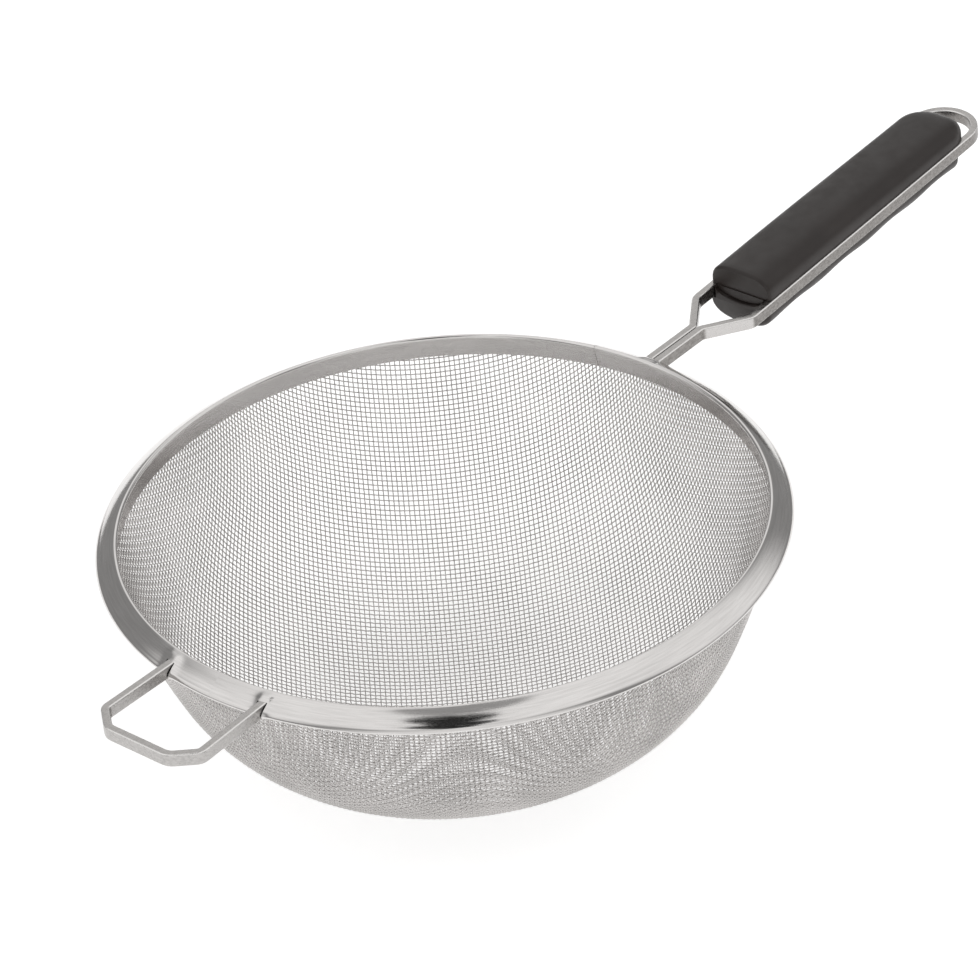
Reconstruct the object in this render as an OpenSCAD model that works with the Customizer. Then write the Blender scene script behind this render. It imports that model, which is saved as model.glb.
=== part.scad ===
// Hand-held bowl strainer for sifting flour.
// A woven wire bowl is clamped in a rolled sheet rim. A hoop inside the roll carries the
// flat-wire handle frame on one side and the flat-wire rest on the other side.
// The handle points along +X, the rest along -X, and the bowl stands on Z = 0.

/* [Rim] */
// Outer diameter of the rolled rim
rim_d = 199; // [160:1:260]
// Inner diameter at the ridge of the rim
rim_bore_d = 185.2; // [150:0.2:246]
// Height of the ridge above the rim's widest line
rim_ridge_h = 4.3; // [3.5:0.1:6]
// Thickness of the rim sheet
rim_sheet = 0.4; // [0.3:0.05:0.5]
// Rounding radius of the ridge
ridge_r = 0.8; // [0.6:0.1:1.2]
// Bearing of the butt seam from the handle, in degrees
seam_bearing = 11; // [5:1:80]
// Width of the gap in the butt seam
seam_gap = 0.15; // [0.1:0.05:0.5]

/* [Hoop] */
// Wire diameter of the hoop inside the roll
hoop_wire = 2.6; // [2:0.1:2.8]

/* [Bowl] */
// Thickness of the woven cloth, two wires high
cloth_t = 0.65; // [0.4:0.05:1]
// Slope of the wall from upright below the rim, in degrees
wall_a = 16; // [10:1:20]
// Slope of the wall where the round flank begins, in degrees
flank_a = 23; // [21:1:30]
// Slope where the flank ends and the base begins, in degrees
base_a = 57; // [45:1:65]
// Curve radius of the upper wall
wall_r = 260; // [150:5:320]
// Curve radius of the flank
flank_r = 53; // [40:1:60]
// Radius of the flat in the middle of the base
flat_r = 8; // [4:1:20]

/* [Flat wire] */
// Thickness of the flat wire
wire_t = 2.5; // [2:0.1:3]
// Height of the flat wire, standing on edge
wire_h = 4; // [3:0.1:5]
// Height of the wire's top edge above the rim's widest line, at the rim
wire_top = 3; // [2.5:0.1:3.2]

/* [Rest] */
// Outer width of the rest at the rim
rest_root_w = 36.2; // [24:0.2:60]
// Outer width of the rest at its first bends
rest_w = 37.8; // [24:0.2:60]
// Outer width of the rest's front bar
rest_bar_w = 24.4; // [12:0.2:40]
// Distance of the first bends from the bowl's axis
rest_bend_x = 121; // [110:0.5:140]
// Distance of the front bar from the bowl's axis
rest_end_x = 128; // [116:0.5:150]

/* [Handle] */
// Gap between the two runs of wire in the neck
neck_gap = 0.3; // [0.2:0.1:2]
// Distance of the fork from the bowl's axis
fork_x = 118.5; // [110:0.5:140]
// Distance of the frame's outer bends from the bowl's axis
grip_x = 131.8; // [125:0.1:160]
// Outer width of the frame along the grip
frame_w = 23.4; // [20:0.2:30]
// Distance of the round hanging eye's centre from the bowl's axis
eye_x = 246; // [222:1:272]
// Rise of the grip above the rim's plane, in degrees
grip_rise = 3.5; // [0:0.5:8]

/* [Grip] */
// Distance from the outer bends to the grip's near end
grip_start = 8; // [6:0.5:16]
// Width of the moulded grip
grip_w = 22.2; // [20:0.2:28]
// Height of the upper half above the wire
upper_h = 7.4; // [5:0.2:9]
// Depth of the lower half below the wire
lower_h = 6.7; // [5:0.2:9]
// Depth of the finger waves in the underside
wave_depth = 1; // [0:0.1:2]
// Pitch of the finger waves
wave_pitch = 25; // [20:1:30]
// Wall thickness of the moulded halves
shell_t = 2.4; // [2:0.1:3]
// Diameter of the locating pegs between the halves
peg_d = 4; // [3:0.5:5]

/* [Hidden] */
$fn = 96;
slack = 0.1;                 // clearance between parts that fit together
over = 1;                    // how far a cutter runs past what it cuts
arc_step = 4;                // degrees between the points of a profile arc

// Points of an arc that starts at p. Its outward normal turns from a0 to a1.
function arc(p, a0, a1, r) =
    let (n = max(1, ceil(abs(a1 - a0) / arc_step)))
    [for (i = [1:n]) let (a = a0 + (a1 - a0) * i / n)
        p + r * [cos(a) - cos(a0), sin(a) - sin(a0)]];
function last(points) = points[len(points) - 1];
function reversed(points) = [for (i = [len(points) - 1:-1:0]) points[i]];
function normal(a) = [cos(a), sin(a)];
function path_step(p, a, l) = p + l * [sin(a), -cos(a)];
function unit(v) = v / norm(v);
function left_of(v) = [-v[1], v[0]];

// Point i of a line, moved sideways by d, on the mitre between its two runs
function mitred(points, i, d) =
    let (a = unit(points[max(i, 1)] - points[max(i, 1) - 1]),
         k = min(i, len(points) - 2),
         b = unit(points[k + 1] - points[k]),
         m = unit(left_of(a) + left_of(b)))
    points[i] + m * d / (m * left_of(a));

// Rim section, from the skirt's lower edge over the ridge to the lip's inner edge.
// The angles are those of the sheet's outward normal, counted from +R towards +Z.
skirt_n = 190;
face_top_n = 66;
face_low_n = 44;
lip_n = -60;
bend_r = 0.5;
skirt_len = 6.4;
lip_len = 5.1;
face_r = ((rim_d - rim_bore_d) / 2 - ridge_r * (1 + cos(face_top_n))
          - bend_r * (1 - cos(face_low_n))) / (cos(face_low_n) - cos(face_top_n));
ridge_start = [rim_bore_d / 2 + ridge_r + ridge_r * cos(skirt_n),
               rim_ridge_h - ridge_r + ridge_r * sin(skirt_n)];
skirt_end = path_step(ridge_start, skirt_n, -skirt_len);

function rim_path(t) =
    let (s = skirt_end - t * normal(skirt_n),
         b = ridge_start - t * normal(skirt_n),
         ridge = arc(b, skirt_n, face_top_n, ridge_r - t),
         face = arc(last(ridge), face_top_n, face_low_n, face_r - t),
         bend = arc(last(face), face_low_n, lip_n, bend_r - t),
         lip = path_step(last(bend), lip_n, lip_len))
    concat([s, b], ridge, face, bend, [lip]);

// Bowl profile, measured from the rim's widest line. The cloth starts inside the roll.
cloth_top = ridge_start - (rim_sheet + slack / 2) * normal(skirt_n) + [0, -1];
cloth_neck = path_step(cloth_top, skirt_n, -skirt_len + 1) - cloth_t * normal(skirt_n);

function bowl_path(t) =
    let (s = cloth_neck - t * normal(-wall_a),
         wall = arc(s, -wall_a, -flank_a, wall_r - t),
         flank = arc(last(wall), -flank_a, -base_a, flank_r - t),
         base_r = (last(bowl_flank()) [0] - flat_r) / cos(base_a),
         base = arc(last(flank), -base_a, -90, base_r - t))
    concat([s], wall, flank, base);
function bowl_flank() =
    arc(last(arc(cloth_neck, -wall_a, -flank_a, wall_r)), -flank_a, -base_a, flank_r);
rim_z = -last(bowl_path(0))[1];          // height of the rim's widest line

wire_z = rim_z + wire_top;               // top edge of the flat wire at the rim
hoop_r = rim_bore_d / 2 + 3.6;
hoop_z = rim_z + 0.2;
weld_r = hoop_r + hoop_wire / 2;         // where the flat wire meets the hoop's side
tongue_r = hoop_r;                       // how far in the wire's tongue reaches over the hoop

rise_x = grip_x + 0.6;                   // where the frame starts to rise
run_y = (frame_w - wire_t) / 2;          // centre line of the runs along the grip
run_len = (eye_x - rise_x) / cos(grip_rise);   // along the grip, up to the eye's centre
neck_y = (neck_gap + wire_t) / 2;        // centre line of the runs in the neck
pocket_w = grip_w - 2 * wire_t - 2 * shell_t;
core_w = 2 * (run_y - wire_t / 2 - slack);
nose_x = run_len - 8;                    // centre of the upper half's round outer end
heel_x = run_len - 5.4;                  // the lower half's square outer end
peg_x = [for (i = [0:2]) grip_start + 12 + i * 37];

// Outline of a wire along a line of points, bent sharply at each one
module wire_plan(points, w = wire_t) {
    steps = [0:len(points) - 1];
    polygon(concat([for (i = steps) mitred(points, i, -w / 2)],
                   reversed([for (i = steps) mitred(points, i, w / 2)])));
}

// Cuts the ends of flat wires, so that a tongue of each lies on the hoop
module hoop_cut() {
    top = hoop_z + hoop_wire / 2;
    translate([0, 0, wire_z - wire_h - over])
        cylinder(r = weld_r, h = top - wire_z + wire_h + over, $fn = 180);
}

module mesh_bowl() {
    color("lightgray") translate([0, 0, rim_z])
        rotate_extrude($fn = 180)
            polygon(concat(
                [cloth_top - cloth_t * normal(skirt_n)], bowl_path(0),
                [[0, -rim_z], [0, -rim_z + cloth_t]],
                reversed(bowl_path(cloth_t)), [cloth_top]));
}

// The slot in the rim band through which one flat wire runs to the hoop
module wire_slot(y, heading) {
    slot_x = sqrt(pow(tongue_r, 2) - y * y) - slack;
    rotate(heading)
        translate([slot_x, y - wire_t / 2 - slack, wire_z - wire_h - slack])
            cube([rim_d / 2 - slot_x + over, wire_t + 2 * slack, wire_h + 2 * slack]);
}

module rim_band() {
    color("silver") difference() {
        translate([0, 0, rim_z])
            rotate_extrude($fn = 180)
                polygon(concat(rim_path(0), reversed(rim_path(rim_sheet))));
        for (side = [-1, 1]) {
            wire_slot(side * neck_y, 0);
            wire_slot(side * (rest_root_w - wire_t) / 2, 180);
        }
        rotate(seam_bearing)
            translate([rim_bore_d / 2 - over, -seam_gap / 2, rim_z - rim_ridge_h - over])
                cube([rim_d / 2 - rim_bore_d / 2 + 2 * over, seam_gap,
                      2 * rim_ridge_h + 2 * over]);
    }
}

module rim_hoop() {
    color("gray") translate([0, 0, hoop_z])
        rotate_extrude($fn = 180) translate([hoop_r, 0]) circle(d = hoop_wire, $fn = 32);
}

module front_rest() {
    root_y = (rest_root_w - wire_t) / 2;
    bend_y = (rest_w - wire_t) / 2;
    bar_y = (rest_bar_w - wire_t) / 2;
    bar_x = rest_end_x - wire_t / 2;
    root_x = sqrt(pow(tongue_r, 2) - pow(root_y, 2));
    color("silver") difference() {
        translate([0, 0, wire_z - wire_h]) linear_extrude(wire_h)
            wire_plan([[-root_x, root_y], [-rest_bend_x, bend_y], [-bar_x, bar_y],
                       [-bar_x, -bar_y], [-rest_bend_x, -bend_y], [-root_x, -root_y]]);
        hoop_cut();
    }
}

// Places its children in the grip's frame, where the rise begins, on the wire's top edge
module on_grip() {
    translate([rise_x, 0, wire_z]) rotate([0, -grip_rise, 0]) children();
}

// Plan of the frame: two runs that fork from the neck and meet in the round hanging eye
module frame_plan() {
    for (side = [-1, 1])
        wire_plan([[tongue_r, side * neck_y], [fork_x, side * neck_y],
                   [grip_x, side * run_y], [rise_x + over, side * run_y]]);
    difference() {
        loop_plan(rise_x, frame_w / 2);
        loop_plan(rise_x - over, frame_w / 2 - wire_t);
    }
}

// A long plate with one round end, round about the hanging eye's centre
module loop_plan(start_x, r) {
    translate([start_x, -r]) square([eye_x - start_x, 2 * r]);
    translate([eye_x, 0]) circle(r = r);
}

// Side view of the frame: a strip that is level at the rim and rises along the grip
module frame_strip() {
    far = rise_x + 2 * run_len;
    mid_z = wire_z - wire_h / 2;
    rotate([90, 0, 0]) linear_extrude(frame_w + 2 * over, center = true)
        wire_plan([[0, mid_z], [rise_x, mid_z],
                   [far, mid_z + (far - rise_x) * tan(grip_rise)]], wire_h);
}

module handle_frame() {
    color("silver") difference() {
        intersection() {
            translate([0, 0, wire_z - 2 * wire_h]) linear_extrude(8 * wire_h) frame_plan();
            frame_strip();
        }
        hoop_cut();
    }
}

// Plan of a half: a square near end, and an outer end that is round or square
module grip_plan(round_end) {
    end_x = round_end ? nose_x : heel_x;
    translate([grip_start, -grip_w / 2]) square([end_x - grip_start, grip_w]);
    if (round_end) translate([nose_x, 0]) circle(d = grip_w);
}

// Crowned cross-section of one half, a superellipse, standing on the parting plane
module crown(w, h, power = 2.7) {
    step = 7.5;
    polygon([for (a = [0:step:180])
        [w / 2 * sign(cos(a)) * pow(abs(cos(a)), 2 / power), h * pow(sin(a), 2 / power)]]);
}

// A crowned bar along the grip, cut to the plan's outline
module crowned_bar(h, round_end) {
    intersection() {
        linear_extrude(h + over) grip_plan(round_end);
        rotate([90, 0, 90]) linear_extrude(run_len + grip_w) crown(grip_w, h);
    }
}

// The core between the two runs of wire, with pockets between the peg bosses
module core_block(z0, z1, round_end) {
    translate([0, 0, z0]) linear_extrude(z1 - z0)
        intersection() {
            grip_plan(round_end);
            translate([0, -core_w / 2]) square([run_len + grip_w, core_w]);
        }
}

module pockets(z0, z1) {
    for (i = [0:1])
        translate([peg_x[i] + peg_d, -pocket_w / 2, z0])
            cube([peg_x[i + 1] - peg_x[i] - 2 * peg_d, pocket_w, z1 - z0]);
}

module grip_upper() {
    part_z = -wire_h / 2 + slack / 2;
    color("#3c3735") on_grip() difference() {
        union() {
            translate([0, 0, slack / 2]) crowned_bar(upper_h, true);
            core_block(part_z, 2 * slack, true);
            for (x = peg_x)
                translate([x, 0, part_z - wire_h]) cylinder(d = peg_d, h = wire_h + over);
        }
        pockets(part_z - over, upper_h - shell_t);
    }
}

module grip_lower() {
    part_z = -wire_h / 2 - slack / 2;
    wave_r = (pow(wave_pitch / 2, 2) + pow(wave_depth, 2)) / (2 * wave_depth);
    color("#3c3735") on_grip() difference() {
        union() {
            translate([0, 0, -wire_h - slack / 2]) mirror([0, 0, 1])
                crowned_bar(lower_h, false);
            core_block(-wire_h - 2 * slack, part_z, false);
        }
        for (i = [0:3])
            translate([grip_start + wave_pitch * (i + 0.6), grip_w,
                       -wire_h - lower_h - wave_r + wave_depth])
                rotate([90, 0, 0]) cylinder(r = wave_r, h = 2 * grip_w);
        pockets(-wire_h - lower_h + shell_t + wave_depth, part_z + over);
        for (x = peg_x)
            translate([x, 0, -wire_h * 3 / 2 - over])
                cylinder(d = peg_d + slack, h = wire_h + 2 * over);
    }
}

mesh_bowl();
rim_band();
rim_hoop();
front_rest();
handle_frame();
grip_upper();
grip_lower();
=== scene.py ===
"""Looks for a hand-held bowl strainer: woven wire bowl, rolled rim, flat-wire frame and moulded grip."""

import math

import bpy
import numpy as np
from mathutils import Matrix, Vector


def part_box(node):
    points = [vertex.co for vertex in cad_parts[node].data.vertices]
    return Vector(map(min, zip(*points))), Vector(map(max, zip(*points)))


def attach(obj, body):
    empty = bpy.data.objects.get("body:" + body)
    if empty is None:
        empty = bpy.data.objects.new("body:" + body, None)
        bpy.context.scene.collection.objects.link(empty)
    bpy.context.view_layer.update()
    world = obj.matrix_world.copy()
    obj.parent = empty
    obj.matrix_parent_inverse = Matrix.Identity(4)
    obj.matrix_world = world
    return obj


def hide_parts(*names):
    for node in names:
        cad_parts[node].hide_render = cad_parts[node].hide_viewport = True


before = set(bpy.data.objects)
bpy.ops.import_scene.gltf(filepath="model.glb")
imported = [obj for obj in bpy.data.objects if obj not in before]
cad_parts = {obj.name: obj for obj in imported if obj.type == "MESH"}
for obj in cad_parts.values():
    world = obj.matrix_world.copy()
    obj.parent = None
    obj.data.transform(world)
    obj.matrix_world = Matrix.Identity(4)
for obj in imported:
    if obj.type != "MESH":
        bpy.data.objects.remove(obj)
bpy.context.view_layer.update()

# Sizes in millimetres. They are the CAD model's, apart from the face and bead of the rim.
# Every mesh is scaled to metres when it is made.
MM = 0.001
RIM_D = 199.0
RIM_BORE_D = 185.2
RIM_RIDGE_H = 4.3
RIM_SHEET = 0.4
RIDGE_R = 0.8
SKIRT_N, FACE_TOP_N, LIP_N = 190, 66, -60     # outward normals of the sheet's parts, in degrees
BEND_R, SKIRT_LEN, LIP_LEN = 0.5, 6.4, 5.1
FACE_LOW_N, BEAD_TOP_N, BEAD_LOW_N, BEAD_W = 49.8, 62, 26, 1.6
SLACK = 0.1
CLOTH_T, CLOTH_DROP = 0.65, 1  # the cloth ends this far below the top of the skirt
WALL_A, FLANK_A, BASE_A = 16, 23, 57
WALL_R, FLANK_R, FLAT_R = 260.0, 53.0, 8.0
WIRE_T, WIRE_H, WIRE_TOP = 2.5, 4.0, 3.0
REST_ROOT_W, REST_W, REST_BAR_W = 36.2, 37.8, 24.4
REST_BEND_X, REST_END_X = 121.0, 128.0
NECK_GAP, FORK_X, BEND_X, FRAME_W = 0.3, 118.5, 131.8, 23.4
RISE_X, EYE_X, GRIP_RISE = 132.4, 246.0, 3.5
GRIP_START, GRIP_W, UPPER_H, LOWER_H = 8.0, 22.2, 7.4, 6.7
SEAM_BEARING, SEAM_GAP = 11.0, 0.15

HOOP_ABOVE_RIM = 0.2           # from the rim's widest line up to the hoop's middle
ROOT_OUT = 3.6                 # the flat wires end this far outside the rim's bore

RIM_Z = (-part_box("mesh_bowl")[0].z / MM + (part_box("rim_hoop")[0].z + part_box("rim_hoop")[1].z) / 2 / MM
         - HOOP_ABOVE_RIM)
WIRE_Z = RIM_Z + WIRE_TOP
RUN_LEN = (EYE_X - RISE_X) / math.cos(math.radians(GRIP_RISE))
TONGUE_R = RIM_BORE_D / 2 + ROOT_OUT


# ---------------------------------------------------------------- profiles

def normal_at(angle):
    return np.array([math.cos(math.radians(angle)), math.sin(math.radians(angle))])


def path_step(point, angle, length):
    """A straight step of a profile whose outward normal is at this angle."""
    a = math.radians(angle)
    return point + length * np.array([math.sin(a), -math.cos(a)])


def arc(point, a0, a1, radius, step=2.0):
    """Points of an arc that starts at a point, while its outward normal turns from a0 to a1."""
    count = max(1, math.ceil(abs(a1 - a0) / step))
    turns = [a0 + (a1 - a0) * i / count for i in range(1, count + 1)]
    return [point + radius * (normal_at(a) - normal_at(a0)) for a in turns]


def skirt_top():
    """Where the rim sheet's skirt meets its ridge, on the outer surface."""
    return np.array([RIM_BORE_D / 2 + RIDGE_R, RIM_RIDGE_H - RIDGE_R]) + RIDGE_R * normal_at(SKIRT_N)


def rim_profile():
    """The rim sheet's section as its outer points and the matching inner points."""
    bead_r = BEAD_W / 2 / math.sin(math.radians(BEAD_TOP_N - BEAD_LOW_N) / 2)
    face_r = ((RIM_D - RIM_BORE_D) / 2 - RIDGE_R * (1 + normal_at(FACE_TOP_N)[0])
              - bead_r * (normal_at(BEAD_LOW_N)[0] - normal_at(BEAD_TOP_N)[0])
              - BEND_R * (1 - normal_at(BEAD_LOW_N)[0]))
    face_r /= normal_at(FACE_LOW_N)[0] - normal_at(FACE_TOP_N)[0]
    ridge = skirt_top()

    def path(t):
        low = path_step(ridge, SKIRT_N, -SKIRT_LEN) - t * normal_at(SKIRT_N)
        start = ridge - t * normal_at(SKIRT_N)
        skirt = [low + (start - low) * i / 6 for i in range(7)]
        top = arc(start, SKIRT_N, FACE_TOP_N, RIDGE_R - t, 10)
        face = arc(top[-1], FACE_TOP_N, FACE_LOW_N, face_r - t, 1.6)
        bead = arc(face[-1], BEAD_TOP_N, BEAD_LOW_N, bead_r - t, 6)
        bend = arc(bead[-1], BEAD_LOW_N, LIP_N, BEND_R - t, 10)
        lip = [path_step(bend[-1], LIP_N, LIP_LEN * i / 5) for i in range(1, 6)]
        return np.array(skirt + top + face + bead + bend + lip)

    return path(0), path(RIM_SHEET)


def bowl_profile(t):
    """The bowl's section from its middle up behind the skirt, t inside its outer surface."""
    cloth_top = skirt_top() - (RIM_SHEET + SLACK / 2) * normal_at(SKIRT_N) + np.array([0, -CLOTH_DROP])
    neck = path_step(cloth_top, SKIRT_N, -SKIRT_LEN + CLOTH_DROP) - CLOTH_T * normal_at(SKIRT_N)

    def down(offset):
        start = neck - offset * normal_at(-WALL_A)
        wall = arc(start, -WALL_A, -FLANK_A, WALL_R - offset, 1)
        flank = arc(wall[-1], -FLANK_A, -BASE_A, FLANK_R - offset, 1)
        return start, wall, flank

    flank_end = down(0)[2][-1]
    base_r = (flank_end[0] - FLAT_R) / math.cos(math.radians(BASE_A))
    start, wall, flank = down(t)
    base = arc(flank[-1], -BASE_A, -90, base_r - t, 1)
    points = [np.array([0, base[-1][1]])] + (([start] + wall + flank + base)[::-1])
    behind = cloth_top - (CLOTH_T - t) * normal_at(SKIRT_N)
    return np.array(points + [behind])


# ---------------------------------------------------------------- meshes

def mesh_piece(name, verts, faces, material, sharp=None, body="root"):
    """A piece from points in millimetres and faces as their numbers.

    It is shaded smooth, apart from edges that turn by more than sharp degrees.
    """
    verts = np.asarray(verts, float) * MM
    mesh = bpy.data.meshes.new(name)
    mesh.vertices.add(len(verts))
    mesh.vertices.foreach_set("co", verts.ravel())
    flat = np.concatenate([np.asarray(f, np.int32).ravel() for f in faces])
    sizes = np.concatenate([np.full(len(f), np.asarray(f).shape[1], np.int32) for f in faces])
    mesh.loops.add(len(flat))
    mesh.loops.foreach_set("vertex_index", flat)
    mesh.polygons.add(len(sizes))
    mesh.polygons.foreach_set("loop_start", np.concatenate([[0], np.cumsum(sizes)[:-1]]).astype(np.int32))
    mesh.polygons.foreach_set("use_smooth", np.ones(len(sizes), bool))
    mesh.update(calc_edges=True)
    mesh.validate()
    if sharp is not None:
        mesh.set_sharp_from_angle(angle=math.radians(sharp))
    piece = bpy.data.objects.new(name, mesh)
    bpy.context.scene.collection.objects.link(piece)
    mesh.materials.append(material)
    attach(piece, body)
    return piece


def unit(v):
    return v / np.linalg.norm(v, axis=-1, keepdims=True)


def round_tubes(name, runs, radius, sides, material):
    """Round wires with closed ends. Each run is its centre points and a direction across it at each point."""
    turn = np.linspace(0, 2 * math.pi, sides, endpoint=False)
    verts, quads, caps, base = [], [], [], 0
    for centres, across in runs:
        along = unit(np.gradient(centres, axis=0))
        side = unit(np.cross(along, across))
        up = np.cross(side, along)
        ring = centres[:, None] + radius * (np.cos(turn)[None, :, None] * up[:, None]
                                            + np.sin(turn)[None, :, None] * side[:, None])
        verts.append(ring.reshape(-1, 3))
        n = len(centres)
        i, k = np.meshgrid(np.arange(n - 1), np.arange(sides), indexing="ij")
        a, b = base + i * sides + k, base + i * sides + (k + 1) % sides
        quads.append(np.stack([a, b, b + sides, a + sides], -1).reshape(-1, 4))
        caps.append(base + np.arange(sides)[::-1])
        caps.append(base + (n - 1) * sides + np.arange(sides))
        base += n * sides
    return mesh_piece(name, np.concatenate(verts), [np.concatenate(quads), np.array(caps)], material)


# ---------------------------------------------------------------- materials

def add_node(tree, kind, inputs=None, **settings):
    """A new node. Its inputs are given as constants or as the sockets that feed them."""
    node = tree.nodes.new(kind)
    for key, value in settings.items():
        setattr(node, key, value)
    for key, value in (inputs or {}).items():
        if isinstance(value, bpy.types.NodeSocket):
            tree.links.new(value, node.inputs[key])
        else:
            node.inputs[key].default_value = value
    return node


class Nodes:
    """A new material with its shader, and short calls for the nodes that feed it."""

    def __init__(self, name, **sockets):
        self.material = bpy.data.materials.new(name)
        self.material.use_nodes = True
        self.tree = self.material.node_tree
        self.shader = self.tree.nodes["Principled BSDF"]
        for socket, value in sockets.items():
            self.shader.inputs[socket.replace("_", " ")].default_value = value
        self.here = self.node("ShaderNodeTexCoord").outputs["Object"]

    def node(self, kind, inputs=None, **settings):
        return add_node(self.tree, kind, inputs, **settings)

    def math(self, operation, a, b=0.0):
        return self.node("ShaderNodeMath", {0: a, 1: b}, operation=operation).outputs[0]

    def noise(self, scale, detail=3.0, vector=None, roughness=0.5):
        inputs = {"Scale": scale, "Detail": detail, "Roughness": roughness, "Vector": vector or self.here}
        return self.node("ShaderNodeTexNoise", inputs).outputs["Fac"]

    def stretched(self, x, y, z, vector=None):
        return self.node("ShaderNodeMapping", {"Vector": vector or self.here, "Scale": (x, y, z)}).outputs[0]

    def range(self, value, low, high, start=0.3, end=0.7):
        inputs = {"Value": value, "From Min": start, "From Max": end, "To Min": low, "To Max": high}
        return self.node("ShaderNodeMapRange", inputs).outputs["Result"]

    def colours(self, value, *stops):
        """A colour ramp from (position, colour) stops."""
        node = self.node("ShaderNodeValToRGB", {"Fac": value})
        ramp = node.color_ramp
        while len(ramp.elements) < len(stops):
            ramp.elements.new(0.5)
        for element, (position, colour) in zip(ramp.elements, stops):
            element.position = position
            element.color = (*colour, 1)
        return node.outputs["Color"]

    def mixed(self, factor, a, b):
        """One colour or the other. Inputs 6 and 7 and output 2 are the Mix node's colour sockets."""
        node = self.node("ShaderNodeMix", {"Factor": factor}, data_type="RGBA")
        self.tree.links.new(a, node.inputs[6])
        self.tree.links.new(b, node.inputs[7])
        return node.outputs[2]

    def around(self):
        """Coordinates that run round the bowl's axis, outwards from it, and upwards."""
        split = self.node("ShaderNodeSeparateXYZ", {"Vector": self.here}).outputs
        angle = self.math("ARCTAN2", split["Y"], split["X"])
        radius = self.math("SQRT", self.math("ADD", self.math("MULTIPLY", split["X"], split["X"]),
                                             self.math("MULTIPLY", split["Y"], split["Y"])))
        return self.node("ShaderNodeCombineXYZ", {"X": angle, "Y": radius, "Z": split["Z"]}).outputs[0]

    def feed(self, socket, value):
        self.tree.links.new(value, self.shader.inputs[socket])

    def bump(self, height, distance, strength=1.0):
        node = self.node("ShaderNodeBump", {"Height": height, "Distance": distance, "Strength": strength})
        self.feed("Normal", node.outputs["Normal"])


def wire_material():
    """Bright drawn wire, a little duller in patches."""
    m = Nodes("woven_wire", Metallic=1.0)
    patches = m.noise(60, 2)
    m.feed("Base Color", m.colours(patches, (0.3, (0.50, 0.485, 0.475)), (0.7, (0.62, 0.60, 0.59))))
    m.feed("Roughness", m.range(m.noise(900, 2), 0.16, 0.3))
    return m.material


def rim_material():
    """Polished sheet with fine marks along the rolling direction and faint stains."""
    m = Nodes("rim_sheet", Metallic=1.0)
    around = m.around()
    marks = m.noise(1.0, 4, m.stretched(6, 9000, 9000, around), 0.6)
    streaks = m.noise(1.0, 2, m.stretched(10, 1800, 1800, around))
    m.feed("Base Color", m.colours(streaks, (0.3, (0.62, 0.605, 0.595)), (0.7, (0.70, 0.685, 0.675))))
    m.feed("Roughness", m.range(marks, 0.06, 0.15))
    m.bump(marks, 0.000012, 0.6)
    return m.material


def flat_wire_material(name, side_dark, side_light):
    """Satin flat wire with mottled sides, lighter between fork and bend, with painted highlight on its rounded
    edges.
    """
    m = Nodes(name, Metallic=1.0)
    grain = m.noise(1600, 3, m.stretched(0.6, 0.6, 1))
    split = m.node("ShaderNodeSeparateXYZ", {"Vector": m.here}).outputs
    middle = (FORK_X + BEND_X) / 2 * MM
    away = m.math("ABSOLUTE", m.math("SUBTRACT", split["X"], middle))
    reach = (BEND_X - FORK_X) / 2 * MM
    bent = m.range(away, 1.0, 0.0, reach - 0.0006, reach + 0.0002)
    normal = m.node("ShaderNodeTexCoord").outputs["Normal"]
    upward = m.math("ABSOLUTE", m.node("ShaderNodeSeparateXYZ", {"Vector": normal}).outputs["Z"])
    # Sides mottle between the two given colours; the frame wire's darker ones are painted shade.
    grainy = m.colours(grain, (0.32, side_dark), (0.68, side_light))
    # Lighter colour for the sides between the fork and the bend.
    smooth = m.colours(grain, (0.3, (0.55, 0.535, 0.525)), (0.7, (0.60, 0.585, 0.575)))
    # Painted highlight: the rounded edges along top and bottom are coloured far lighter than the flat faces.
    edges = m.colours(grain, (0.3, (0.74, 0.725, 0.715)), (0.7, (0.82, 0.805, 0.79)))
    top = m.colours(grain, (0.3, (0.36, 0.35, 0.34)), (0.7, (0.46, 0.445, 0.435)))
    # The colour goes by which way the surface faces: flat top and bottom darker, rounded edges the painted
    # highlight.
    above = m.mixed(m.range(upward, 0.0, 1.0, 0.93, 0.995), edges, top)
    sides = m.mixed(bent, grainy, smooth)
    m.feed("Base Color", m.mixed(m.range(upward, 0.0, 1.0, 0.25, 0.5), sides, above))
    m.feed("Roughness", m.range(grain, 0.22, 0.36))
    m.bump(grain, 0.00003, 0.6)
    return m.material


def hoop_material():
    """Drawn wire with fine marks along it."""
    m = Nodes("hoop_wire", Metallic=1.0)
    marks = m.noise(1.0, 3, m.stretched(4, 5000, 5000, m.around()))
    m.feed("Base Color", m.colours(marks, (0.3, (0.5, 0.49, 0.48)), (0.7, (0.6, 0.59, 0.58))))
    m.feed("Roughness", m.range(marks, 0.25, 0.4))
    return m.material


def plastic_material():
    """Dark warm grey plastic, satin from a fine moulded texture."""
    m = Nodes("grip_plastic", Specular_IOR_Level=0.33)
    spread = m.noise(45, 3)
    grain = m.noise(3500, 2)
    m.feed("Base Color", m.colours(spread, (0.3, (0.021, 0.0165, 0.015)), (0.7, (0.027, 0.0215, 0.0195))))
    m.feed("Roughness", m.range(m.noise(220, 4), 0.34, 0.46))
    m.bump(grain, 0.00003, 0.5)
    return m.material


# ---------------------------------------------------------------- woven bowl

PITCH = 1.5                    # from wire to wire
WOVEN_WIRE_R = 0.19
CRIMP = CLOTH_T / 4            # how far a wire swings to either side of the cloth's middle
WEAVE_BEARING = -47.0          # of one of the cloth's two square directions
BEHIND_SKIRT = 2.2             # how far the wires reach up behind the skirt
WIRE_SIDES = 5
WEAVE_PARTS = 4                # pieces for each direction
MIN_CROSSINGS = 3              # shorter wires are left out
PAST_SKIRT = 40                # the section runs straight on this far, so that the outermost steps find a place
SOLVER_STEPS = 12


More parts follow.
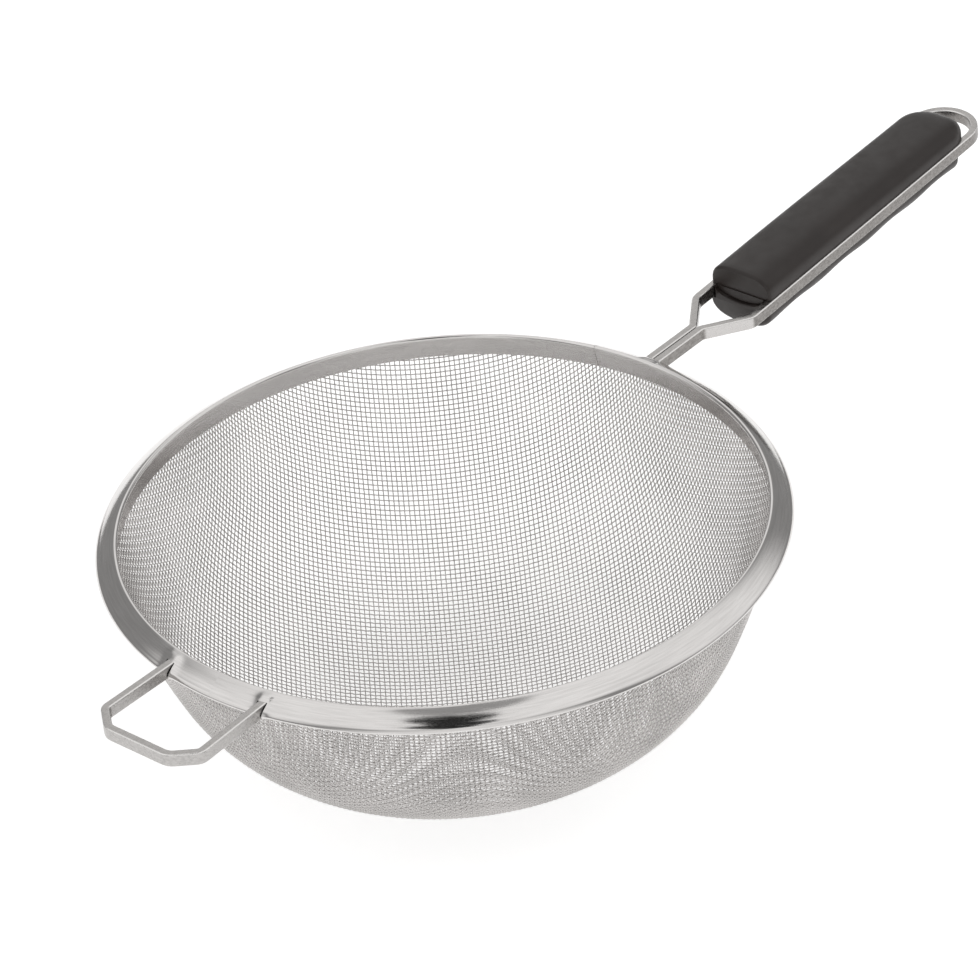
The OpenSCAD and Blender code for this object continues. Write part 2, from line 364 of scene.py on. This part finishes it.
def weave_net():
    """Crossings of a square cloth pressed over the bowl, where every step along a wire stays one pitch long.

    One quarter is marched from the bowl's middle, and the other three mirror it. Returns the crossings, their
    outward normals and which of them lie on the cloth.
    """
    profile = bowl_profile(CLOTH_T / 2)
    reach = np.concatenate([[0], np.cumsum(np.linalg.norm(np.diff(profile, axis=0), axis=1))])
    skirt_low = reach[-2]
    tangent = unit(profile[-1] - profile[-2])
    reach = np.append(reach, reach[-1] + PAST_SKIRT)
    profile = np.vstack([profile, profile[-1] + PAST_SKIRT * tangent])
    slopes = unit(np.gradient(profile, reach, axis=0))

    def place(s, phi):
        r, z = np.interp(s, reach, profile[:, 0]), np.interp(s, reach, profile[:, 1])
        return np.stack([r * np.cos(phi), r * np.sin(phi), z], -1), r

    def slope(s):
        return np.interp(s, reach, slopes[:, 0]), np.interp(s, reach, slopes[:, 1])

    edge = skirt_low + BEHIND_SKIRT
    n = int(edge / PITCH) + 2
    s = np.full((n, n), np.nan)
    phi = np.full((n, n), np.nan)
    s[:, 0] = s[0, :] = np.arange(n) * PITCH
    phi[:, 0], phi[0, :] = 0, math.pi / 2
    for k in range(2, 2 * n - 1):
        i = np.arange(max(1, k - n + 1), min(k, n))
        j = k - i
        a, _ = place(s[i - 1, j], phi[i - 1, j])
        b, _ = place(s[i, j - 1], phi[i, j - 1])
        o, _ = place(s[i - 1, j - 1], phi[i - 1, j - 1])
        guess = a + b - o
        p = np.arctan2(guess[:, 1], guess[:, 0])
        u = s[i - 1, j] + s[i, j - 1] - s[i - 1, j - 1]
        if k == 2:
            u = np.array([PITCH * math.sqrt(2)])
        for _ in range(SOLVER_STEPS):
            x, r = place(u, p)
            dr, dz = slope(u)
            xs = np.stack([dr * np.cos(p), dr * np.sin(p), dz], -1)
            xp = np.stack([-r * np.sin(p), r * np.cos(p), 0 * r], -1)
            ga, gb = ((x - a) ** 2).sum(-1) - PITCH ** 2, ((x - b) ** 2).sum(-1) - PITCH ** 2
            m = 2 * np.array([[((x - a) * xs).sum(-1), ((x - a) * xp).sum(-1)],
                              [((x - b) * xs).sum(-1), ((x - b) * xp).sum(-1)]])
            det = m[0, 0] * m[1, 1] - m[0, 1] * m[1, 0]
            det = np.where(np.abs(det) < 1e-9, np.nan, det)
            u = u - (m[1, 1] * ga - m[0, 1] * gb) / det
            p = p - (m[0, 0] * gb - m[1, 0] * ga) / det
        s[i, j], phi[i, j] = u, p
    points, _ = place(s, phi)
    dr, dz = slope(s)
    normals = np.stack([dz * np.cos(phi), dz * np.sin(phi), -dr], -1)

    def mirrored(grid, vector):
        left = grid[:0:-1] * ([-1, 1, 1] if vector else 1)
        grid = np.concatenate([left, grid], 0)
        front = grid[:, :0:-1] * ([1, -1, 1] if vector else 1)
        return np.concatenate([front, grid], 1)

    points, normals = mirrored(points, True), mirrored(normals, True)
    s = mirrored(s, False)
    turn = math.radians(WEAVE_BEARING)
    spin = np.array([[math.cos(turn), math.sin(turn), 0], [-math.sin(turn), math.cos(turn), 0], [0, 0, 1]])
    points, normals = points @ spin, normals @ spin
    points[..., 2] += RIM_Z
    return points, normals, np.where(np.isnan(s), np.inf, s) <= edge


def woven_bowl(material):
    """Every wire of the cloth, over and under in turn, as a few pieces for each direction."""
    points, normals, inside = weave_net()
    n = len(points)
    parity = np.add.outer(np.arange(n), np.arange(n)) % 2 * 2 - 1
    for kind, sign in (("warp", 1), ("weft", -1)):
        if kind == "weft":
            points, normals = points.swapaxes(0, 1), normals.swapaxes(0, 1)
            inside, parity = inside.T, parity.T
        runs = []
        for row in range(n):
            keep = np.flatnonzero(inside[row])
            if len(keep) < MIN_CROSSINGS:
                continue
            p, m = points[row, keep], normals[row, keep]
            high = p + m * (sign * parity[row, keep] * CRIMP)[:, None]
            line = np.empty((2 * len(keep) - 1, 3))
            across = np.empty_like(line)
            line[::2], across[::2] = high, m
            line[1::2] = (p[:-1] + p[1:]) / 2
            across[1::2] = unit(m[:-1] + m[1:])
            runs.append((line, across))
        lengths = np.cumsum([len(r[0]) for r in runs])
        cuts = [np.searchsorted(lengths, lengths[-1] * (k + 1) / WEAVE_PARTS) for k in range(WEAVE_PARTS)]
        first = 0
        for k, cut in enumerate(cuts):
            piece = round_tubes(f"weave_{kind}_{k + 1}", runs[first:cut + 1], WOVEN_WIRE_R, WIRE_SIDES, material)
            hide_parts("mesh_bowl")
            first = cut + 1


# ---------------------------------------------------------------- rim

RIM_COLUMNS = 720              # round the rim, before those added at the slots
SLOT_GAP = 0.3                 # between a flat wire's side and the sheet
SLOT_FROM_R = 96.5             # the sheet covers the wires up to here, then it is slit
BULGE = 0.55                   # how far the sheet is pushed out over a wire
BULGE_HALF, BULGE_FADE = 0.5, 1.8      # share of a slot's half width pushed out fully, and the fade beside it
FACE_FADE = 0.6                # the bulge has reached its full height this far before the slot
SEAM_SLANT = 1.0               # degrees that the seam leans over the width of the sheet
SEAM_FADE = (1, 8)             # degrees from the seam over which its lean dies away
STRAIGHTEN = (3, 9)            # beside a slot, over which its straight columns turn into radial ones
STRAIGHT_REACH = 60            # columns further off than this don't matter to a slot
SLOT_COLUMNS = (-0.6, -0.01, 0, 0.12, 0.3, 0.55, 0.9)     # extra columns, from a slot's edge outwards
EDGE_TOLERANCE = 1e-4
REST_ROOT_Y = (REST_ROOT_W - WIRE_T) / 2
NECK_Y = (NECK_GAP + WIRE_T) / 2
# Where flat wires pass through the sheet: the bearing they head for, their middle's y there, their half width
SLOTS = [
    (0.0, 0.0, NECK_Y + WIRE_T / 2),
    (180.0, REST_ROOT_Y, WIRE_T / 2),
    (180.0, -REST_ROOT_Y, WIRE_T / 2),
]


def smoothstep(x, low, high):
    t = np.clip((x - low) / (high - low), 0, 1)
    return t * t * (3 - 2 * t)


def side_step(bearing, heading, radius):
    """How far to the left of a heading through the axis a point lies, or far away on the rim's other half."""
    turn = math.radians(1) * (bearing - heading)
    return np.where(np.cos(turn) > 0, radius * np.sin(turn), 1000.0)


def shell_faces(gone):
    """Faces of a sheet with two sides, from the grid of cells that are cut away."""
    c, k = gone.shape[0] + 1, gone.shape[1] + 1
    number = np.arange(c * k).reshape(c, k)
    a, b, d, e = number[:-1, :-1], number[:-1, 1:], number[1:, 1:], number[1:, :-1]
    there = ~gone
    front = np.stack([a, b, d, e], -1)[there]
    back = np.stack([a, e, d, b], -1)[there] + c * k
    padded = np.pad(there, 1)
    walls = []
    along_k = padded[1:, 1:-1].astype(int) - padded[:-1, 1:-1]
    for sign in (1, -1):
        i, j = np.nonzero(along_k == sign)
        p, q = number[i, j], number[i, j + 1]
        walls.append(np.stack([p, p + c * k, q + c * k, q] if sign > 0 else [q, q + c * k, p + c * k, p], -1))
    along_c = padded[1:-1, 1:].astype(int) - padded[1:-1, :-1]
    for sign in (1, -1):
        i, j = np.nonzero(along_c == sign)
        p, q = number[i, j], number[i + 1, j]
        walls.append(np.stack([q, q + c * k, p + c * k, p] if sign > 0 else [p, p + c * k, q + c * k, q], -1))
    return [front, back, np.concatenate(walls)]


def rim_band(material):
    """The rolled sheet, bulged over the flat wires, slit where they pass, and butted at its seam."""
    outer, inner = rim_profile()
    normal = unit(outer - inner)
    run = np.concatenate([[0], np.cumsum(np.linalg.norm(np.diff(outer, axis=0), axis=1))])
    run /= run[-1]
    gap = math.degrees(SEAM_GAP / (RIM_D / 2))
    bearings = list(SEAM_BEARING + gap / 2 + np.linspace(0, 360 - gap, RIM_COLUMNS))
    for heading, middle, half in SLOTS:
        edge = half + SLOT_GAP
        for offset in SLOT_COLUMNS:
            for side in (-1, 1):
                turn = heading + math.degrees(math.asin((middle + side * (edge + offset)) / SLOT_FROM_R))
                bearings.append((turn - SEAM_BEARING) % 360 + SEAM_BEARING)
    bearings = np.unique(np.round(bearings, 6))
    from_seam = np.minimum(bearings - SEAM_BEARING, SEAM_BEARING + 360 - bearings)
    lean = SEAM_SLANT * (run - 0.5)[None, :] * (1 - smoothstep(from_seam, *SEAM_FADE))[:, None]
    place = np.radians(bearings)[:, None] + np.radians(lean)
    push = np.zeros_like(place)
    gone = np.zeros((len(bearings) - 1, len(run) - 1), bool)
    face = smoothstep(outer[:, 0], RIM_BORE_D / 2 + RIDGE_R, SLOT_FROM_R - FACE_FADE)
    after_ridge = np.arange(len(run)) > outer[:, 1].argmax()
    cut_rows = after_ridge & (((outer[:, 0] > SLOT_FROM_R) & (outer[:, 1] > 0))
                              | ((outer[:, 1] <= 0) & (outer[:, 1] > WIRE_TOP - WIRE_H - SLOT_GAP)))
    for heading, middle, half in SLOTS:
        y = side_step(bearings, heading, SLOT_FROM_R)
        off = np.abs(y - middle)
        near = 1 - smoothstep(off, half + STRAIGHTEN[0], half + STRAIGHTEN[1])
        across = np.clip(y, -STRAIGHT_REACH, STRAIGHT_REACH)
        straight = math.radians(heading) + np.arcsin(across[:, None] / outer[None, :, 0])
        straight = straight + 2 * math.pi * np.round((place - straight) / (2 * math.pi))
        place = place + near[:, None] * (straight - place)
        spread = np.exp(-(np.maximum(off - half * BULGE_HALF, 0) / BULGE_FADE) ** 2)
        push = np.maximum(push, BULGE * spread[:, None] * (face * after_ridge)[None, :])
        inside = off < half + SLOT_GAP + EDGE_TOLERANCE
        gone |= (inside[:-1] & inside[1:])[:, None] & (cut_rows[:-1] & cut_rows[1:])[None, :]
    sides = []
    for path in (outer, inner):
        r = path[None, :, 0] + push * normal[None, :, 0]
        z = path[None, :, 1] + push * normal[None, :, 1] + RIM_Z
        sides.append(np.stack([r * np.cos(place), r * np.sin(place), z], -1).reshape(-1, 3))
    piece = mesh_piece("rim_roll", np.concatenate(sides), shell_faces(gone), material, 40)
    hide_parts("rim_band")
    return piece


# ---------------------------------------------------------------- flat wire

WIRE_EDGE_R = 0.5             # rounding of the flat wire's four edges
EDGE_STEPS = 5                 # steps round each of those edges
TIGHT_BEND, WIDE_BEND = 2.6, 4.2
RISE_BEND = 0.8                # the frame starts to rise over this far to either side of its bend
REST_STEP, FRAME_STEP, EYE_POINTS = 4, 3, 31


def rounded(points, radii, step=12.0):
    """A line of plan points with each inner corner rounded to its radius."""
    line = [np.array(points[0], float)]
    for before, corner, after, radius in zip(points, points[1:], points[2:], radii):
        p, q, r = (np.array(v, float) for v in (before, corner, after))
        a, b = unit(q - p), unit(r - q)
        turn = math.atan2(a[0] * b[1] - a[1] * b[0], a @ b)
        start = q - a * radius * math.tan(abs(turn) / 2)
        centre = start + radius * math.copysign(1, turn) * np.array([-a[1], a[0]])
        count = max(2, math.ceil(abs(math.degrees(turn)) / step))
        for i in range(count + 1):
            t = turn * i / count
            spoke = start - centre
            line.append(centre + np.array([spoke[0] * math.cos(t) - spoke[1] * math.sin(t),
                                           spoke[0] * math.sin(t) + spoke[1] * math.cos(t)]))
    line.append(np.array(points[-1], float))
    return np.array(line)


def wire_section():
    """The flat wire's section, with its four edges rounded."""
    ring = []
    for quarter in range(4):
        cx = (WIRE_T / 2 - WIRE_EDGE_R) * (1 if quarter in (0, 3) else -1)
        cz = (WIRE_H / 2 - WIRE_EDGE_R) * (1 if quarter in (0, 1) else -1)
        for i in range(EDGE_STEPS + 1):
            ring.append(np.array([cx, cz]) + WIRE_EDGE_R * normal_at(quarter * 90 + i * 90 / EDGE_STEPS))
    return np.array(ring)


def flat_wire(name, plan, material, place=None):
    """Flat wire on edge along a plan line, its top at the wire's height. place moves the finished points."""
    section = wire_section()
    along = unit(np.gradient(plan, axis=0))
    left = np.stack([-along[:, 1], along[:, 0]], -1)
    rings = np.empty((len(plan), len(section), 3))
    rings[..., :2] = plan[:, None] + left[:, None] * section[None, :, :1]
    rings[..., 2] = WIRE_Z - WIRE_H / 2 + section[None, :, 1]
    if place:
        rings = place(rings)
    return loft(name, rings, material)


def loft(name, rings, material, sharp=35):
    """A closed piece through rings of points, with flat ends."""
    count, around = rings.shape[:2]
    i, k = np.meshgrid(np.arange(count - 1), np.arange(around), indexing="ij")
    a, b = i * around + k, i * around + (k + 1) % around
    quads = np.stack([a, b, b + around, a + around], -1).reshape(-1, 4)
    ends = np.array([np.arange(around)[::-1], (count - 1) * around + np.arange(around)])
    return mesh_piece(name, rings.reshape(-1, 3), [quads, ends], material, sharp)


def spaced(plan, step):
    """The same line with more points along its long straights."""
    out = [plan[0]]
    for a, b in zip(plan, plan[1:]):
        count = max(1, round(np.linalg.norm(b - a) / step))
        out += [a + (b - a) * i / count for i in range(1, count + 1)]
    return np.array(out)


def front_rest(material):
    root_x = math.sqrt(TONGUE_R ** 2 - REST_ROOT_Y ** 2)
    bend_y, bar_y = (REST_W - WIRE_T) / 2, (REST_BAR_W - WIRE_T) / 2
    bar_x = REST_END_X - WIRE_T / 2
    half = [(-root_x, REST_ROOT_Y), (-REST_BEND_X, bend_y), (-bar_x, bar_y)]
    plan = rounded(half + [(x, -y) for x, y in half[::-1]], [TIGHT_BEND, WIDE_BEND, WIDE_BEND, TIGHT_BEND])
    piece = flat_wire("rest_wire", spaced(plan, REST_STEP), material)
    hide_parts("front_rest")


def risen(points):
    """Points drawn level, tilted upwards past the place where the frame starts to rise."""
    turn = math.radians(GRIP_RISE) * smoothstep(points[..., 0], RISE_X - RISE_BEND, RISE_X + RISE_BEND)
    x, z = points[..., 0] - RISE_X, points[..., 2] - WIRE_Z
    out = points.copy()
    out[..., 0] = RISE_X + x * np.cos(turn) - z * np.sin(turn)
    out[..., 2] = WIRE_Z + x * np.sin(turn) + z * np.cos(turn)
    return out


def handle_frame(material):
    run_y = (FRAME_W - WIRE_T) / 2
    eye_x = RISE_X + RUN_LEN
    side = rounded([(TONGUE_R, NECK_Y), (FORK_X, NECK_Y), (BEND_X, run_y), (eye_x, run_y)],
                   [TIGHT_BEND, WIDE_BEND])
    eye = np.array([(eye_x + run_y * math.sin(t), run_y * math.cos(t))
                    for t in np.linspace(0, math.pi, EYE_POINTS)[1:-1]])
    plan = np.concatenate([side, eye, (side * [1, -1])[::-1]])
    piece = flat_wire("frame_wire", spaced(plan, FRAME_STEP), material, risen)
    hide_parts("handle_frame")


# ---------------------------------------------------------------- grip

NOSE_U = RUN_LEN - 8           # centre of the upper half's round outer end
HEEL_U = RUN_LEN - 5.4         # the lower half's square outer end
UPPER_BASE, LOWER_BASE = 0.08, 0.25    # gaps from the wires up to the upper half and down to the lower
UPPER_SINK = 0.2               # taken off the CAD model's height at the crown
TAPER, TAPER_FROM = 1.3, 20    # how far the crown comes down outwards, and where that begins
UPPER_EDGE_R, LOWER_EDGE_R, HEEL_EDGE_R = 1.3, 1.6, 2.0    # rounding of the near ends and of the heel
UPPER_TURNS, LOWER_TURNS = (60, 40, 20, 0), (70, 45, 20, 0)     # degrees round those edges
STRAIGHT_FROM = 3              # the even stations start and stop this far from a rounded end
WAVE_DEPTH, WAVE_PITCH, WAVE_SHIFT = 1.0, 25.0, 0.6        # the finger waves, the last in pitches
CORE_HALF, CORE_H = 9.0, 3.3   # the core that hangs from the upper half between the wires at the near end
CORE_BASE, CORE_EDGE = 0.1, 0.3        # where it hangs from, above the wires, and the chamfer of its face
CORE_OUT = 0.2                 # how far the core's face stands out past the upper half's
GRIP_LIP = 1.4                 # how far the lower half stands out past the upper half at the near end
PLUG_LEN = 12.0                # of the core and of the plug under it
PLUG_EDGE = 0.25               # chamfer of the plug's face
PLUG_DEEP = 0.3                # how far below the wires the plug reaches
PLUG_SIDE, PLUG_TOP = 0.05, 0.1        # gaps between the core and the plug
PLUG_BACK = 0.1                # how far the plug's face lies behind the lower half's


def crown(half, height, power, count=48):
    """Half a superellipse over a base line, from the +v side to the -v side."""
    a = np.linspace(0, math.pi, count)
    v = half * np.sign(np.cos(a)) * np.abs(np.cos(a)) ** (2 / power)
    return np.stack([v, height * np.abs(np.sin(a)) ** (2 / power)], -1)


def on_grip(points):
    """From (along, left, above the wire's top) in the grip's frame to the row's frame."""
    u, v, w = points[..., 0], points[..., 1], points[..., 2]
    rise = math.radians(GRIP_RISE)
    return np.stack([RISE_X + u * math.cos(rise) - w * math.sin(rise), v,
                     WIRE_Z + u * math.sin(rise) + w * math.cos(rise)], -1)


def joined(pieces, name):
    """Several pieces as one object."""
    bpy.ops.object.select_all(action="DESELECT")
    for piece in pieces:
        piece.select_set(True)
    bpy.context.view_layer.objects.active = pieces[0]
    bpy.ops.object.join()
    pieces[0].name = pieces[0].data.name = name
    return pieces[0]


def bar(name, stations, material, base, sign=1, power=3.2):
    """A crowned bar through stations (u, half width, height), standing on or hanging from its base."""
    rings = []
    for u, half, height in stations:
        ring = crown(half, height, power)
        rings.append(np.stack([np.full(len(ring), u), ring[:, 0], base + sign * ring[:, 1]], -1))
    rings = np.array(rings)
    if sign < 0:
        rings = rings[:, ::-1]
    return loft(name, on_grip(rings), material)


def rounded_end(face, inwards, radius, half, height, turns):
    """Stations that round off a bar's end, from u = face inwards, which is 1 or -1."""
    stations = []
    for t in map(math.radians, turns):
        inset = radius * (1 - math.cos(t))
        stations.append((face + inwards * radius * (1 - math.sin(t)), half - inset, height - inset))
    return stations


def grip_upper(material):
    """The upper half: a long crown that thins outwards to a domed end, and the core under its near end."""
    half, start = GRIP_W / 2, GRIP_START
    end = NOSE_U + half

    def height(u):
        return UPPER_H - UPPER_SINK - TAPER * smoothstep(u, start + TAPER_FROM, end)

    stations = rounded_end(start, 1, UPPER_EDGE_R, half, height(start), UPPER_TURNS)
    stations += [(u, half, height(u)) for u in np.linspace(start + STRAIGHT_FROM, NOSE_U, 30)]
    for t in np.linspace(0, 88, 23)[1:]:
        s, c = math.sin(math.radians(t)), math.cos(math.radians(t))
        stations.append((NOSE_U + half * s, half * c, height(NOSE_U) * (0.12 + 0.88 * c ** 0.8) * (c ** 0.25)))
    shell = bar("upper_shell", stations, material, UPPER_BASE)
    face = start - CORE_OUT
    core = bar("upper_core", [(face, CORE_HALF - CORE_EDGE, CORE_H - CORE_EDGE),
                              (face + CORE_EDGE, CORE_HALF, CORE_H),
                              (face + PLUG_LEN, CORE_HALF, CORE_H)], material, CORE_BASE, -1, 2)
    piece = joined([shell, core], "grip_upper_half")
    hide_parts("grip_upper")


def plug(material):
    """The part of the lower half that rises between the wires, hollowed to fit under the core."""
    low = -WIRE_H - PLUG_DEEP

    def section(u, inset):
        top = crown(CORE_HALF + PLUG_SIDE, CORE_H + PLUG_TOP + inset, 2)[::-1]
        upper = np.stack([top[:, 0] * (1 - inset / CORE_HALF), CORE_BASE - top[:, 1]], -1)
        ring = np.concatenate([upper, [[CORE_HALF - inset, low], [inset - CORE_HALF, low]]])
        return np.column_stack([np.full(len(ring), u), ring])

    face = GRIP_START - GRIP_LIP + PLUG_BACK
    rings = np.array([section(face, PLUG_EDGE), section(face + PLUG_EDGE, 0), section(face + PLUG_LEN, 0)])
    return loft("lower_plug", on_grip(rings[:, ::-1]), material)


def grip_lower(material):
    """The lower half: finger waves along its underside and a square outer end."""
    half, start = GRIP_W / 2, GRIP_START - GRIP_LIP

    def depth(u):
        turn = 2 * math.pi * (u - start - WAVE_SHIFT * WAVE_PITCH) / WAVE_PITCH
        return LOWER_H - WAVE_DEPTH * (0.5 + 0.5 * math.cos(turn))

    stations = rounded_end(start, 1, LOWER_EDGE_R, half, depth(start), LOWER_TURNS)
    stations += [(u, half, depth(u)) for u in np.linspace(start + STRAIGHT_FROM, HEEL_U - STRAIGHT_FROM, 60)]
    stations += rounded_end(HEEL_U, -1, HEEL_EDGE_R, half, depth(HEEL_U), LOWER_TURNS[::-1])
    shell = bar("lower_shell", stations, material, -WIRE_H - LOWER_BASE, -1, 2.5)
    piece = joined([shell, plug(material)], "grip_lower_half")
    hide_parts("grip_lower")


# ---------------------------------------------------------------- camera, floor, light

CAMERA_AZIMUTH, CAMERA_ELEVATION = -46.568, 34.0592
CAMERA_ROLL, CAMERA_PAN, CAMERA_TILT = 5.921, 0.6271, -0.3466
CAMERA_DISTANCE = 1.28442      # metres, from the middle of the rim's widest line
CAMERA_LENS, SENSOR = 166.11, 36.0


def camera():
    az, el = math.radians(CAMERA_AZIMUTH), math.radians(CAMERA_ELEVATION)
    back = Vector((math.sin(az) * math.cos(el), -math.cos(az) * math.cos(el), math.sin(el)))
    right = Vector((math.cos(az), math.sin(az), 0))
    rows = Matrix((right, back.cross(right), back))
    turned = (Matrix.Rotation(math.radians(CAMERA_ROLL), 3, "Z")
              @ Matrix.Rotation(math.radians(CAMERA_TILT), 3, "X")
              @ Matrix.Rotation(math.radians(CAMERA_PAN), 3, "Y") @ rows)
    data = bpy.data.cameras.new("camera")
    data.lens, data.sensor_width = CAMERA_LENS, SENSOR
    data.clip_start, data.clip_end = 0.01, 50
    eye = bpy.data.objects.new("camera", data)
    bpy.context.scene.collection.objects.link(eye)
    eye.matrix_world = (Matrix.Translation(Vector((0, 0, RIM_Z * MM)) + back * CAMERA_DISTANCE)
                        @ turned.transposed().to_4x4())
    bpy.context.scene.camera = eye


FLOOR_GLOW = 0.52              # keeps the pale floor even under the object
FLOOR_HALF, FLOOR_DROP = 6.0, 0.0002   # metres


def floor():
    m = Nodes("floor", Roughness=0.9)
    m.feed("Base Color", m.colours(m.noise(3, 2), (0.3, (0.80, 0.80, 0.80)), (0.7, (0.82, 0.82, 0.82))))
    m.shader.inputs["Specular IOR Level"].default_value = 0.0
    m.shader.inputs["Emission Color"].default_value = (1, 1, 1, 1)
    m.shader.inputs["Emission Strength"].default_value = FLOOR_GLOW
    corners = [(x * FLOOR_HALF, y * FLOOR_HALF, 0) for x, y in ((-1, -1), (1, -1), (1, 1), (-1, 1))]
    mesh = bpy.data.meshes.new("floor")
    mesh.from_pydata(corners, [], [(0, 1, 2, 3)])
    mesh.materials.append(m.material)
    plane = bpy.data.objects.new("floor", mesh)
    plane.location.z = -FLOOR_DROP
    bpy.context.scene.collection.objects.link(plane)


def heading(bearing, elevation):
    b, e = math.radians(bearing), math.radians(elevation)
    return Vector((math.cos(b) * math.cos(e), math.sin(b) * math.cos(e), math.sin(e)))


WALLS = 0.30                   # brightness of the studio between its patches
# Soft patches laid over it in turn: bearing, elevation, inner and outer radius in degrees, brightness
PATCHES = [
    (0, 90, 28, 52, 1.05),         # overhead softbox
    (142, 34, 12, 34, 1.05),       # softbox on the left
    (-40, 36, 14, 38, 1.00),       # softbox on the right
    (-135, 12, 26, 46, 0.95),      # low window at the front
    (0, 90, 9, 11, 0.38),          # gap in the ceiling
    (43, 34, 8, 30, 1.00),         # low window beyond the handle
    (-153, 73, 6, 6.6, 0.02),      # dark camera rig over the front, in four parts
    (-136, 72, 6, 6.6, 0.02),
    (-143, 63, 6, 6.6, 0.02),
    (-139, 54, 5.4, 6, 0.02),
]


def studio():
    """Soft light from all round: dim walls with brighter and darker patches over them."""
    world = bpy.data.worlds.new("studio")
    world.use_nodes = True
    tree = world.node_tree
    background = tree.nodes["Background"]

    direction = tree.nodes.new("ShaderNodeTexCoord").outputs["Generated"]
    light = WALLS
    for bearing, elevation, inner, outer, value in PATCHES:
        towards = add_node(tree, "ShaderNodeVectorMath", {0: direction, 1: heading(bearing, elevation)},
                           operation="DOT_PRODUCT").outputs["Value"]
        limits = {"From Min": math.cos(math.radians(outer)), "From Max": math.cos(math.radians(inner))}
        mask = add_node(tree, "ShaderNodeMapRange", {"Value": towards, **limits},
                        interpolation_type="SMOOTHSTEP").outputs["Result"]
        light = add_node(tree, "ShaderNodeMix", {"Factor": mask, "A": light, "B": value},
                         data_type="FLOAT").outputs["Result"]
    tree.links.new(light, background.inputs["Strength"])
    background.inputs["Color"].default_value = (1.0, 0.995, 0.99, 1)
    bpy.context.scene.world = world
    bpy.context.scene.view_settings.view_transform = "Standard"


woven_bowl(wire_material())
rim_band(rim_material())
front_rest(flat_wire_material("rest_wire", (0.40, 0.39, 0.38), (0.52, 0.505, 0.495)))
# Painted shade: the frame wire's sides are coloured darker than the rest wire's, the same metal, for the dim
# surroundings they reflect.
handle_frame(flat_wire_material("frame_wire", (0.19, 0.18, 0.172), (0.31, 0.296, 0.285)))
plastic = plastic_material()
grip_upper(plastic)
grip_lower(plastic)
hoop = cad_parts["rim_hoop"].data
for index in range(len(hoop.materials)):
    hoop.materials[index] = hoop_material()

camera()
floor()
studio()
